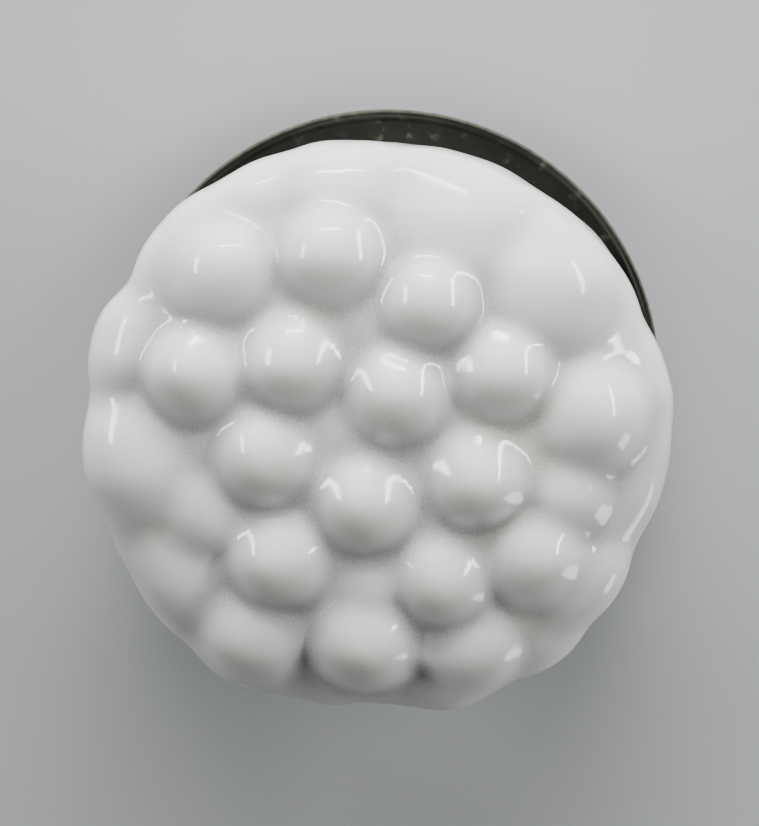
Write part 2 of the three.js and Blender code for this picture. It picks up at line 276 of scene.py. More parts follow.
def patches(tree, place, millimetres, detail, low, high, faint=0.0, full=1.0, roughness=0.5):
    """Soft-edged patches about this wide on the object: a noise, drawn out so that it is faint up
    to one level and full from another."""
    cloud = add_node(tree, "ShaderNodeTexNoise", {
        "Vector": place, "Scale": lumps(millimetres), "Detail": detail, "Roughness": roughness})
    return add_node(tree, "ShaderNodeMapRange", {
        "Value": cloud, "From Min": low, "From Max": high, "To Min": faint, "To Max": full},
        interpolation_type="SMOOTHSTEP")


def mottled(name, tone, spot, spots, relief, **shader_values):
    """A material of one tone with soft spots of another, and a fine relief."""
    material, tree, shader = new_material(name, **shader_values)
    place = add_node(tree, "ShaderNodeTexCoord", output="Object")
    spotted = add_node(tree, "ShaderNodeMix", {
        0: patches(tree, place, **spots), 6: opaque(tone), 7: linear(spot, 1.0)},
        output=2, data_type="RGBA")
    tree.links.new(spotted, shader.inputs["Base Color"])
    grain = add_node(tree, "ShaderNodeTexNoise", {
        "Vector": place, "Scale": lumps(relief["width"]), "Detail": relief["detail"]})
    raised = add_node(tree, "ShaderNodeBump", {
        "Height": grain, "Distance": relief["depth"] * MM, "Strength": relief["strength"]})
    tree.links.new(raised, shader.inputs["Normal"])
    return material


def tin_glaze(cover):
    """Opaque tin-white glaze over stoneware, poured and fired: glassy, with a slow waviness that
    bends reflections, thin over edges, pooling in valleys, whose greyer tone is also painted shade,
    with a few pinholes."""
    material, tree, shader = new_material(
        "tin_glaze", IOR=1.52, Coat_Weight=0.25, Coat_Roughness=0.08, Subsurface_Weight=0.12,
        Subsurface_Scale=0.0012)
    shader.inputs["Subsurface Radius"].default_value = (1.0, 0.9, 0.75)
    place = add_node(tree, "ShaderNodeTexCoord", output="Object")
    hollow = add_node(tree, "ShaderNodeAttribute", output="Fac", attribute_name="hollow")
    # Glaze pools in valleys, in clouds about 14 mm across; the greyer tone laid there is also
    # painted shade.
    pool_and_shade = add_node(tree, "ShaderNodeMapRange", {
        "Value": hollow, "From Min": 0.40, "From Max": 0.80}, interpolation_type="SMOOTHSTEP")
    cloud = patches(tree, place, 14.0, 2.0, 0.35, 0.65, faint=0.75)
    pool_and_shade = add_node(tree, "ShaderNodeMath", {0: pool_and_shade, 1: cloud}, operation="MULTIPLY")
    # Grain in the painted valley shade, as of tiny air pockets held in the thick glaze, really
    # about 0.1 mm, drawn as 0.3 mm so that they show.
    grain_in_valley_shade = patches(tree, place, 0.3, 1.0, 0.35, 0.65, faint=0.62)
    pool_and_shade = add_node(tree, "ShaderNodeMath", {0: pool_and_shade, 1: grain_in_valley_shade}, operation="MULTIPLY")
    # Iron in the clay warms some of the pools, in patches about 24 mm across; both valley tones are
    # painted shade as well as pooling.
    warm = patches(tree, place, 24.0, 1.0, 0.50, 0.68)
    pool_and_shade_tone = add_node(tree, "ShaderNodeMix", {
        0: warm, 6: opaque(cover.pooled_glaze_and_shade), 7: opaque(cover.warm_glaze_and_shade)},
        output=2, data_type="RGBA")
    # The valleys take the greyer tones: pooling glaze and painted shade.
    body = add_node(tree, "ShaderNodeMix", {0: pool_and_shade, 6: opaque(cover.glaze), 7: pool_and_shade_tone},
                    output=2, data_type="RGBA")
    # Glaze runs thin over the tops of the pebbles.
    thin = add_node(tree, "ShaderNodeMapRange", {
        "Value": hollow, "From Min": 0.42, "From Max": 0.15, "To Max": 0.5},
        interpolation_type="SMOOTHSTEP")
    body = add_node(tree, "ShaderNodeMix", {0: thin, 6: body, 7: opaque(cover.thin_glaze)},
                    output=2, data_type="RGBA")
    # Pinholes of about 0.35 mm, few and faint.
    pinholes = patches(tree, place, 0.35, 0.0, 0.80, 0.84)
    faint = add_node(tree, "ShaderNodeMath", {0: pinholes, 1: 0.35}, operation="MULTIPLY")
    body = add_node(tree, "ShaderNodeMix", {0: faint, 6: body, 7: linear(PINHOLE_BROWN, 1.0)},
                    output=2, data_type="RGBA")
    tree.links.new(body, shader.inputs["Base Color"])
    # Gloss that is a little uneven, in patches about 5 mm across.
    gloss = patches(tree, place, 5.0, 4.0, 0.3, 0.7, faint=0.09, full=0.16)
    tree.links.new(gloss, shader.inputs["Roughness"])
    # Slow waves about 6 mm long, and the pinholes.
    waves = add_node(tree, "ShaderNodeTexNoise", {
        "Vector": place, "Scale": lumps(6.0), "Detail": 2.0, "Roughness": 0.4})
    waves = add_node(tree, "ShaderNodeBump", {
        "Height": waves, "Distance": 0.22 * MM, "Strength": 0.5})
    relief = add_node(tree, "ShaderNodeBump", {
        "Height": pinholes, "Distance": 0.03 * MM, "Strength": 0.6, "Normal": waves})
    tree.links.new(relief, shader.inputs["Normal"])
    return material


def bare_stoneware(cover):
    """Unglazed stoneware wiped clean at the foot: matt, sandy, with darker grog in it."""
    return mottled(
        "bare_stoneware", cover.clay, GROG_BROWN,
        spots={"millimetres": 0.5, "detail": 2.0, "low": 0.60, "high": 0.68},
        relief={"width": 0.4, "depth": 0.12, "detail": 4.0, "strength": 0.7},
        Roughness=0.82, IOR=1.5)


def patinated_brass(dish):
    """Spun brass with a dark dipped patina: satin, faint turning rings, pale bloom in soft round
    spots, and brassy on the rolled edge, where hands wear the patina off and a highlight of the
    roll is painted."""
    material, tree, shader = new_material("patinated_brass", Metallic=0.85)
    place = add_node(tree, "ShaderNodeTexCoord", output="Object")
    cloud = add_node(tree, "ShaderNodeTexNoise", {
        "Vector": place, "Scale": lumps(9.0), "Detail": 5.0, "Roughness": 0.6})
    depth = add_node(tree, "ShaderNodeMapRange", {
        "Value": cloud, "From Min": 0.3, "From Max": 0.7}, interpolation_type="SMOOTHSTEP")
    tone = add_node(tree, "ShaderNodeMix", {
        0: depth, 6: linear(PATINA_SHADOW, 1.0), 7: opaque(dish.patina)},
        output=2, data_type="RGBA")
    # Water leaves soft spots of bloom about 1.8 mm across, here and there.
    bloom = patches(tree, place, 1.8, 1.5, 0.56, 0.74, full=0.5, roughness=0.4)
    wetted = add_node(tree, "ShaderNodeMapRange", {
        "Value": cloud, "From Min": 0.44, "From Max": 0.64}, interpolation_type="SMOOTHSTEP")
    bloom = add_node(tree, "ShaderNodeMath", {0: bloom, 1: wetted}, operation="MULTIPLY")
    tone = add_node(tree, "ShaderNodeMix", {0: bloom, 6: tone, 7: opaque(dish.bloom)},
                    output=2, data_type="RGBA")
    # Hands rub the rolled edge, unevenly over about 1.2 mm; the lighter tone there is also a
    # painted highlight of the roll.
    worn_and_highlit = add_node(tree, "ShaderNodeAttribute", output="Fac", attribute_name="worn_and_highlit")
    broken = patches(tree, place, 1.2, 4.0, 0.3, 0.6, faint=0.55, roughness=0.6)
    worn_and_highlit = add_node(tree, "ShaderNodeMath", {0: worn_and_highlit, 1: broken}, operation="MULTIPLY")
    tone = add_node(tree, "ShaderNodeMix", {0: worn_and_highlit, 6: tone, 7: opaque(dish.rubbed_and_highlit)},
                    output=2, data_type="RGBA")
    tree.links.new(tone, shader.inputs["Base Color"])
    # Satin, and smoother where hands rub it.
    satin = add_node(tree, "ShaderNodeMapRange", {
        "Value": cloud, "From Min": 0.3, "From Max": 0.7, "To Min": 0.36, "To Max": 0.52},
        interpolation_type="SMOOTHSTEP")
    polish = add_node(tree, "ShaderNodeMath", {0: worn_and_highlit, 1: 0.12}, operation="MULTIPLY")
    satin = add_node(tree, "ShaderNodeMath", {0: satin, 1: polish}, operation="SUBTRACT")
    tree.links.new(satin, shader.inputs["Roughness"])
    # Turning rings about 0.35 mm apart: a noise read along the radius only.
    flat = add_node(tree, "ShaderNodeVectorMath", {0: place, 1: (1.0, 1.0, 0.0)},
                    operation="MULTIPLY")
    radius = add_node(tree, "ShaderNodeVectorMath", {0: flat}, output="Value",
                      operation="LENGTH")
    along = add_node(tree, "ShaderNodeCombineXYZ", {"X": radius})
    rings = add_node(tree, "ShaderNodeTexNoise", {
        "Vector": along, "Scale": lumps(0.35), "Detail": 2.0})
    rings = add_node(tree, "ShaderNodeBump", {
        "Height": rings, "Distance": 0.02 * MM, "Strength": 0.35})
    pitting = add_node(tree, "ShaderNodeTexNoise", {
        "Vector": place, "Scale": lumps(0.8), "Detail": 4.0, "Roughness": 0.6})
    relief = add_node(tree, "ShaderNodeBump", {
        "Height": pitting, "Distance": 0.03 * MM, "Strength": 0.35, "Normal": rings})
    tree.links.new(relief, shader.inputs["Normal"])
    return material


def drawn_brass(name, holder, stained):
    """Drawn brass gone dull in the wet: yellow metal, brown tarnish in patches and streaks."""
    material, tree, shader = new_material(name, Metallic=1.0)
    place = add_node(tree, "ShaderNodeTexCoord", output="Object")
    tarnished = patches(tree, place, 3.0, 5.0, 0.4, 0.7, roughness=0.65)
    share = add_node(tree, "ShaderNodeMath", {0: tarnished, 1: stained}, operation="MULTIPLY")
    tone = add_node(tree, "ShaderNodeMix", {
        0: share, 6: opaque(holder.brass), 7: opaque(holder.tarnish)}, output=2, data_type="RGBA")
    tree.links.new(tone, shader.inputs["Base Color"])
    dulled = add_node(tree, "ShaderNodeMapRange", {
        "Value": tarnished, "To Min": 0.24, "To Max": 0.5}, interpolation_type="SMOOTHSTEP")
    tree.links.new(dulled, shader.inputs["Roughness"])
    drawing = add_node(tree, "ShaderNodeTexNoise", {
        "Vector": place, "Scale": lumps(0.3), "Detail": 3.0})
    relief = add_node(tree, "ShaderNodeBump", {
        "Height": drawing, "Distance": 0.01 * MM, "Strength": 0.4})
    tree.links.new(relief, shader.inputs["Normal"])
    return material


def cast_lead(holder):
    """Cast lead: soft grey metal under a dull blue-white oxide, with chill marks from the mould."""
    material, tree, shader = new_material("cast_lead", Metallic=0.7)
    place = add_node(tree, "ShaderNodeTexCoord", output="Object")
    oxide = patches(tree, place, 4.0, 6.0, 0.35, 0.7, roughness=0.65)
    tone = add_node(tree, "ShaderNodeMix", {
        0: oxide, 6: opaque(holder.lead), 7: linear(LEAD_OXIDE, 1.0)}, output=2, data_type="RGBA")
    tree.links.new(tone, shader.inputs["Base Color"])
    dulled = add_node(tree, "ShaderNodeMapRange", {
        "Value": oxide, "To Min": 0.5, "To Max": 0.78}, interpolation_type="SMOOTHSTEP")
    tree.links.new(dulled, shader.inputs["Roughness"])
    chill = add_node(tree, "ShaderNodeTexNoise", {
        "Vector": place, "Scale": lumps(1.5), "Detail": 5.0, "Roughness": 0.6})
    relief = add_node(tree, "ShaderNodeBump", {
        "Height": chill, "Distance": 0.15 * MM, "Strength": 0.5})
    tree.links.new(relief, shader.inputs["Normal"])
    return material


def moulded_rubber(holder):
    """Moulded black rubber: matt, with a grey dusting of bloom."""
    return mottled(
        "moulded_rubber", holder.rubber, RUBBER_DUST,
        spots={"millimetres": 2.0, "detail": 5.0, "roughness": 0.65, "low": 0.45, "high": 0.75,
               "full": 0.4},
        relief={"width": 0.25, "depth": 0.02, "detail": 3.0, "strength": 0.5},
        Roughness=0.62, IOR=1.52)


def milky_silicone(holder):
    """Moulded silicone: milky, waxy, lets a little light through."""
    return mottled(
        "milky_silicone", holder.silicone, SILICONE_CREAM,
        spots={"millimetres": 3.0, "detail": 3.0, "low": 0.3, "high": 0.7},
        relief={"width": 0.3, "depth": 0.015, "detail": 2.0, "strength": 0.4},
        Roughness=0.42, IOR=1.41, Subsurface_Weight=0.6, Subsurface_Scale=0.002)


def florists_putty(holder):
    """Waxy green putty pressed flat by hand: matt with a greasy sheen and finger marks."""
    return mottled(
        "florists_putty", holder.putty, PUTTY_SHADOW,
        spots={"millimetres": 6.0, "detail": 4.0, "low": 0.3, "high": 0.7},
        relief={"width": 2.0, "depth": 0.3, "detail": 3.0, "strength": 0.6},
        Roughness=0.6, IOR=1.46)


def wool_felt(dish):
    """Pressed wool felt: matted fibres about 0.03 mm thick, drawn as 0.25 mm tufts so they show."""
    material, tree, shader = new_material(
        "wool_felt", Roughness=0.95, Sheen_Weight=0.5, Sheen_Roughness=0.5)
    shader.inputs["Sheen Tint"].default_value = linear(FELT_SHEEN, 1.0)
    place = add_node(tree, "ShaderNodeTexCoord", output="Object")
    tufts = add_node(tree, "ShaderNodeTexNoise", {
        "Vector": place, "Scale": lumps(0.25), "Detail": 6.0, "Roughness": 0.75})
    lit = add_node(tree, "ShaderNodeMapRange", {
        "Value": tufts, "From Min": 0.35, "From Max": 0.65}, interpolation_type="SMOOTHSTEP")
    tone = add_node(tree, "ShaderNodeMix", {
        0: lit, 6: linear(FELT_SHADOW, 1.0), 7: opaque(dish.felt)}, output=2, data_type="RGBA")
    tree.links.new(tone, shader.inputs["Base Color"])
    relief = add_node(tree, "ShaderNodeBump", {
        "Height": tufts, "Distance": 0.3 * MM, "Strength": 0.9})
    tree.links.new(relief, shader.inputs["Normal"])
    return material


def matt_floor(stage):
    """Matt painted board for the floor, with a faint cloudiness from the roller."""
    material, tree, shader = new_material("matt_floor", Roughness=0.85)
    place = add_node(tree, "ShaderNodeTexCoord", output="Object")
    cloud = patches(tree, place, 60.0, 3.0, 0.3, 0.7, full=0.06)
    tone = add_node(tree, "ShaderNodeMix", {
        0: cloud, 6: opaque(stage.floor), 7: linear(FLOOR_CLOUD, 1.0)}, output=2, data_type="RGBA")
    tree.links.new(tone, shader.inputs["Base Color"])
    return material


# ---------- mesh code ----------

# Divisions round the axis: of the dish and its wire, of what it holds, of the felt, and of a pin.
DISH_SEGMENTS = 220
HOLDER_SEGMENTS = 160
FELT_SEGMENTS = 240
PIN_SEGMENTS = 12

def arc(radius, height, size, start, end, steps):
    """Points along a circle's arc about (radius, height), between two angles in degrees."""
    angles = np.radians(np.linspace(start, end, steps + 1))
    return [(radius + size * math.cos(a), height + size * math.sin(a)) for a in angles]


def softened(profile, size, steps=3):
    """Round a profile's corners: every point but the first and last becomes a short curve, which
    takes up less than half of the stretches beside it."""
    points = [Vector(p) for p in profile]
    result = [points[0]]
    for before, corner, after in zip(points, points[1:], points[2:]):
        back = min(size, (before - corner).length * 0.45)
        ahead = min(size, (after - corner).length * 0.45)
        start = corner + (before - corner).normalized() * back
        end = corner + (after - corner).normalized() * ahead
        for i in range(steps + 1):
            t = i / steps
            result.append(start * (1 - t) ** 2 + corner * 2 * t * (1 - t) + end * t ** 2)
    result.append(points[-1])
    return [tuple(p) for p in result]


def turned_mesh(name, profile, segments=HOLDER_SEGMENTS, closed=False):
    """A mesh of revolution about Z. Profile points are (radius, height), anticlockwise, and the
    first and last lie on the axis unless the profile is closed."""
    mesh = bmesh.new()
    turns = np.linspace(0.0, 2.0 * math.pi, segments, endpoint=False)
    rings = []
    for radius, height in profile:
        if radius < 1e-7:
            rings.append([mesh.verts.new((0.0, 0.0, height))])
        else:
            rings.append([mesh.verts.new((radius * math.cos(t), radius * math.sin(t), height))
                          for t in turns])
    pairs = list(zip(rings, rings[1:]))
    if closed:
        pairs.append((rings[-1], rings[0]))
    for low, high in pairs:
        for i in range(segments):
            j = (i + 1) % segments
            corners = dict.fromkeys([low[i % len(low)], low[j % len(low)],
                                     high[j % len(high)], high[i % len(high)]])
            if len(corners) > 2:
                mesh.faces.new(list(corners))
    data = bpy.data.meshes.new(name)
    mesh.to_mesh(data)
    mesh.free()
    return data


def placed(name, data, body, slot, replaced, *materials, sharp=40.0):
    """Make an object of a mesh, shade it, give it its materials and set it on its body."""
    piece = bpy.data.objects.new(name, data)
    bpy.context.scene.collection.objects.link(piece)
    for material in materials:
        data.materials.append(material)
    data.shade_smooth()
    data.set_sharp_from_angle(angle=math.radians(sharp))
    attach(piece, body)
    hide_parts(replaced)
    return piece


def read_points(data):
    """A mesh's points as an array."""
    points = np.empty(len(data.vertices) * 3)
    data.vertices.foreach_get("co", points)
    return points.reshape(-1, 3)


def store_share(data, name, values):
    """Keep a share from 0 to 1 for each point of a mesh, for its material to read."""
    attribute = data.attributes.new(name, "FLOAT", "POINT")
    attribute.data.foreach_set("value", np.asarray(values, np.float32))


# ---------- the cover's form ----------

# Share of the way from the crown's middle to the foot at which the body is widest.
WIDEST_SHARE = 0.56

# How many directions round a point are looked at to judge its valley.
VALLEY_DIRECTIONS = 8

# Half the distance over which the plain body's slope is measured, as a share of the whole way.
SLOPE_STEP = 1e-4


def body_curve(share, foot_radius, belly_radius, belly_height, rise, squareness):
    """A plain body's outline: radius and height over the foot at a share of the way from the
    crown's middle (0) over the widest level to the foot (1)."""
    crown_turn = np.clip(share / WIDEST_SHARE, 0.0, 1.0) * math.pi / 2
    lifted = np.clip(1.0 - np.sin(crown_turn) ** squareness, 0.0, 1.0) ** (1.0 / squareness)
    down = np.clip((share - WIDEST_SHARE) / (1.0 - WIDEST_SHARE), 0.0, 1.0)
    wall_radius = foot_radius + (belly_radius - foot_radius) * np.sin(math.pi / 2 * (1.0 - down))
    on_crown = share <= WIDEST_SHARE
    return (np.where(on_crown, belly_radius * np.sin(crown_turn), wall_radius),
            np.where(on_crown, belly_height + rise * lifted, belly_height * (1.0 - down)))


def plain_outside(share, cover):
    """The outline of the plain body under the pebbles."""
    return body_curve(share, FOOT_RADIUS, FOOT_RADIUS + cover.belly_overhang, cover.belly_height,
                      cover.crown_rise, cover.crown_squareness)


def plain_inside(share, cover):
    """The outline of the cast wall's inside, which ends at the foot ring."""
    return body_curve(share, FOOT_RADIUS - cover.foot_width,
                      FOOT_RADIUS + cover.belly_overhang - cover.wall,
                      cover.belly_height - cover.wall / 2, cover.crown_rise - cover.wall / 2,
                      cover.crown_squareness)


def round_grid(rings, relaxing):
    """A square grid drawn out into a disc and relaxed, so that no kink is left where its corners
    were: for each point its share of the way out and its turn, the quads between the points, and
    the points of the border in order."""
    steps = np.linspace(-1.0, 1.0, 2 * rings + 1)
    across, along = np.meshgrid(steps, steps)
    share = np.maximum(np.abs(across), np.abs(along))
    eighth = math.pi / 4
    beside = (np.where(across > 0, 0.0, math.pi)
              + eighth * along / np.where(across == 0, 1.0, across))
    ahead = (np.where(along > 0, math.pi / 2, 1.5 * math.pi)
             - eighth * across / np.where(along == 0, 1.0, along))
    turn = np.where(np.abs(across) >= np.abs(along), beside, ahead)
    disc = np.stack([share * np.cos(turn), share * np.sin(turn)])
    for _ in range(relaxing):
        disc[:, 1:-1, 1:-1] = (disc[:, :-2, 1:-1] + disc[:, 2:, 1:-1]
                               + disc[:, 1:-1, :-2] + disc[:, 1:-1, 2:]) / 4
    share, turn = np.hypot(disc[0], disc[1]), np.arctan2(disc[1], disc[0])
    index = np.arange(len(steps) ** 2).reshape(len(steps), len(steps))
    quads = np.stack([index[:-1, :-1], index[:-1, 1:], index[1:, 1:], index[1:, :-1]], axis=-1)
    border = np.concatenate([index[0, :-1], index[:-1, -1], index[-1, :0:-1], index[:0:-1, 0]])
    return share.ravel(), turn.ravel(), quads.reshape(-1, 4), border


def pebble_table(cover):
    """Middle, foot radius and height of every pebble, in metres over the foot."""
    belly_radius = FOOT_RADIUS + cover.belly_overhang
    table = []
    for degrees, share, radius, height in CROWN_PEBBLES:
        rise = (1.0 - min(share, 1.0) ** cover.crown_squareness) ** (1.0 / cover.crown_squareness)
        table.append((degrees, share * belly_radius, cover.belly_height + cover.crown_rise * rise,
                      radius * MM, height * MM))
    for degrees, share, radius, height in SIDE_PEBBLES:
        out = FOOT_RADIUS + cover.belly_overhang * math.sin(math.pi / 2 * min(share, 1.0))
        table.append((degrees, out, share * cover.belly_height, radius * MM, height * MM))
    return table


def pebble_lift(points, cover):
    """How far the surface stands out at points of the plain body: the highest pebble there, with
    soft valleys. A pebble is a low bell that is level at its top and where it runs out."""
    blend = cover.pebble_blend
    total = np.ones(len(points))
    for degrees, out, level, radius, height in pebble_table(cover):
        turn = math.radians(degrees)
        middle = np.array((out * math.cos(turn), out * math.sin(turn), level))
        away = np.minimum(np.linalg.norm(points - middle, axis=1) / radius, 1.0)
        total += np.expm1(height * (1.0 - away * away) ** cover.pebble_fall / blend)
    return blend * np.log(total)


def hand_wobble(points):
    """A slow swing between about -1 and 1 over a surface, for what hand finishing leaves: broad
    waves about 25 mm long and finer ones about 12 mm long, slanted so that they don't line up."""
    x, y, z = (points[:, axis] / MM for axis in range(3))
    broad = np.sin(x / 4.1 + z / 9.0 + 1.3) * np.sin(y / 3.6 - z / 7.0 + 0.4)
    fine = np.sin((x + y) / 2.6 + 2.1) * np.sin((x - y) / 2.9 + z / 5.0)
    return 0.6 * broad + 0.4 * fine


def outward_directions(share, turn, cover):
    """The plain outside's normal at each point."""
    ahead = plain_outside(np.clip(share + SLOPE_STEP, 0, 1), cover)
    behind = plain_outside(np.clip(share - SLOPE_STEP, 0, 1), cover)
    across, down = ahead[0] - behind[0], ahead[1] - behind[1]
    size = np.hypot(across, down)
    out, up = -down / size, across / size
    outward = np.stack([out * np.cos(turn), out * np.sin(turn), up], axis=1)
    outward[share < 1e-6] = (0.0, 0.0, 1.0)
    return outward


def cover_mesh(cover):
    """The whole cover as one closed mesh: pebbled outside, foot ring and smooth inside. Faces of
    the foot ring get the second material. The share "hollow" says how far each point lies below
    the form round it: 0.5 is even, 1 a valley, 0 a top."""
    share, turn, quads, border = round_grid(cover.rings, cover.relaxing)
    sheets = []
    for form in (plain_outside, plain_inside):
        radius, height = form(share, cover)
        sheets.append(np.stack([radius * np.cos(turn), radius * np.sin(turn), height], axis=1))
    outside, inside = sheets
    outward = outward_directions(share, turn, cover)
    fade = smoothstep(outside[:, 2], 0.0, cover.plain_band)
    lift = pebble_lift(outside, cover) * fade

    around = np.stack([-np.sin(turn), np.cos(turn), np.zeros_like(turn)], axis=1)
    along = np.cross(outward, around)
    beside = np.zeros_like(lift)
    for angle in np.linspace(0.0, 2.0 * math.pi, VALLEY_DIRECTIONS, endpoint=False):
        nearby = outside + cover.valley_reach * (math.cos(angle) * around + math.sin(angle) * along)
        beside += pebble_lift(nearby, cover) * fade / VALLEY_DIRECTIONS
    hollow = np.clip(0.5 + (beside - lift) / cover.valley_depth, 0.0, 1.0)

    lift += cover.unevenness * fade * hand_wobble(outside)
    raised = outside + outward * lift[:, None]
    for sheet, level in ((raised, outside[:, 2]), (inside, inside[:, 2])):
        lean = smoothstep(level, 0.0, cover.belly_height)
        sheet[:, 0] += cover.lean_x * lean
        sheet[:, 1] += cover.lean_y * lean
        sheet[:, 2] += FOOT_LEVEL

    count = len(raised)
    ahead = np.roll(border, -1)
    ring = np.stack([border, ahead, ahead + count, border + count], axis=1)
    faces = np.concatenate([quads, quads[:, ::-1] + count, ring[:, ::-1]])
    data = bpy.data.meshes.new("glazed_cover_fine")
    data.from_pydata(np.concatenate([raised, inside]).tolist(), [], faces.tolist())
    slots = np.zeros(len(faces), np.int32)
    slots[2 * len(quads):] = 1
    data.polygons.foreach_set("material_index", slots)
    store_share(data, "hollow", np.concatenate([hollow, np.full(count, 0.5)]))
    return data


# ---------- operators ----------

class FROG_OT_cover(bpy.types.Operator):
    """Build the glazed cover with its pebbles, bare foot ring and smooth inside"""

    bl_idname = "frog.cover"
    bl_label = "Glazed cover"

    def execute(self, context):
        cover = context.scene.frog_cover
        placed("glazed_cover_fine", cover_mesh(cover), "cover", "glaze", "glazed_cover",
               tin_glaze(cover), bare_stoneware(cover), sharp=50.0)
        return {"FINISHED"}


class FROG_OT_gasket(bpy.types.Operator):
    """Build the silicone gasket under the cover's foot, with its lip down into the well"""

    bl_idname = "frog.gasket"
    bl_label = "Cover gasket"

    def execute(self, context):
        holder = context.scene.frog_holder
        inside = SLEEVE_HIGH.x + holder.gasket_clearance
        leg = GASKET_HIGH.z - holder.gasket_thickness
        # The profile starts and ends on the lip's inside, a hair apart.
        seam = (GASKET_LOW.z + GASKET_HIGH.z) / 2
        profile = [
            (inside, seam), (inside, GASKET_LOW.z),
            (inside + holder.lip_wall, GASKET_LOW.z), (inside + holder.lip_wall, leg),
            (GASKET_HIGH.x, leg), (GASKET_HIGH.x, GASKET_HIGH.z), (inside, GASKET_HIGH.z),
            (inside, seam + 0.1 * MM),
        ]
        data = turned_mesh("cover_gasket_fine", softened(profile, holder.gasket_edge), closed=True)
        placed("cover_gasket_fine", data, "cover", "silicone", "cover_gasket",
               milky_silicone(holder))
        return {"FINISHED"}


class FROG_OT_dish(bpy.types.Operator):
    """Spin the brass dish with its well, flange and rolled edge, and lay the wire in the roll"""

    bl_idname = "frog.dish"
    bl_label = "Dish and rim wire"

    def execute(self, context):
        dish, holder = context.scene.frog_dish, context.scene.frog_holder
        sheet, underside = dish.sheet, DISH_LOW.z
        floor = underside + sheet
        wire = (WIRE_HIGH.z - WIRE_LOW.z) / 2
        roll_in = wire + dish.wire_clearance
        roll_out = roll_in + sheet
        roll = (WIRE_HIGH.x - wire, FLANGE_FACE - roll_out)
        sweep = math.degrees(dish.roll_sweep)
        floor_radius = dish.well_radius - dish.well_draft - dish.well_bend
        bend = (floor_radius, floor + dish.well_bend)
        mouth = dish.mouth_bend + sheet
        turn = (dish.well_radius + mouth, FLANGE_FACE - mouth)
        face = [
            (0.0, floor), *arc(*bend, dish.well_bend, -90, 0, 8), *arc(*turn, mouth, 180, 90, 8),
            *arc(*roll, roll_out, 90, 90 - sweep, 36),
        ]
        back = [
            *arc(*roll, roll_in, 90 - sweep, 90, 24), *arc(*turn, dish.mouth_bend, 90, 180, 5),
            *arc(*bend, dish.well_bend + sheet, 0, -90, 8), (0.0, underside),
        ]
        data = turned_mesh("base_dish_fine", [*face, *back][::-1], segments=DISH_SEGMENTS)
        # Hands wear the outermost part of the roll, which also takes a painted highlight.
        radius = np.hypot(*read_points(data)[:, :2].T)
        worn_and_highlit = smoothstep(radius, roll[0] + roll_out * 0.72, roll[0] + roll_out)
        store_share(data, "worn_and_highlit", worn_and_highlit)
        placed("base_dish_fine", data, "dish", "patinated_brass", "base_dish",
               patinated_brass(dish))
        round_wire = arc(*roll, wire, 0, 345, 23)
        loop = turned_mesh("rim_wire_fine", round_wire, segments=DISH_SEGMENTS, closed=True)
        placed("rim_wire_fine", loop, "dish", "wire_brass", "rim_wire",
               drawn_brass("rim_brass", holder, stained=0.9))
        return {"FINISHED"}


class FROG_OT_felt(bpy.types.Operator):
    """Build the felt pad with its soft cut edge"""

    bl_idname = "frog.felt"
    bl_label = "Felt pad"

    def execute(self, context):
        dish = context.scene.frog_dish
        radius, thick = FELT_HIGH.x, FELT_HIGH.z - FELT_LOW.z
        profile = softened([(0.0, FELT_LOW.z), (radius, FELT_LOW.z), (radius, FELT_HIGH.z),
                            (0.0, FELT_HIGH.z)], thick * 0.3)
        profile[1:1] = [(radius * share, FELT_LOW.z) for share in (0.5, 0.9)]
        data = turned_mesh("felt_pad_fine", profile, segments=FELT_SEGMENTS)
        points = read_points(data)
        # Only the cut edge is ragged.
        turn = np.arctan2(points[:, 1], points[:, 0])
        edge = np.hypot(points[:, 0], points[:, 1]) > radius * 0.97
        ragged = np.sin(57 * turn) + np.sin(91 * turn + 1.0) * np.cos(23 * turn)
        cut_in = dish.felt_raggedness * np.abs(ragged)
        scale = 1.0 - np.where(edge, cut_in, 0.0) / radius
        points[:, :2] *= scale[:, None]
        data.vertices.foreach_set("co", points.ravel())
        placed("felt_pad_fine", data, "dish", "felt", "felt_pad", wool_felt(dish))
        return {"FINISHED"}


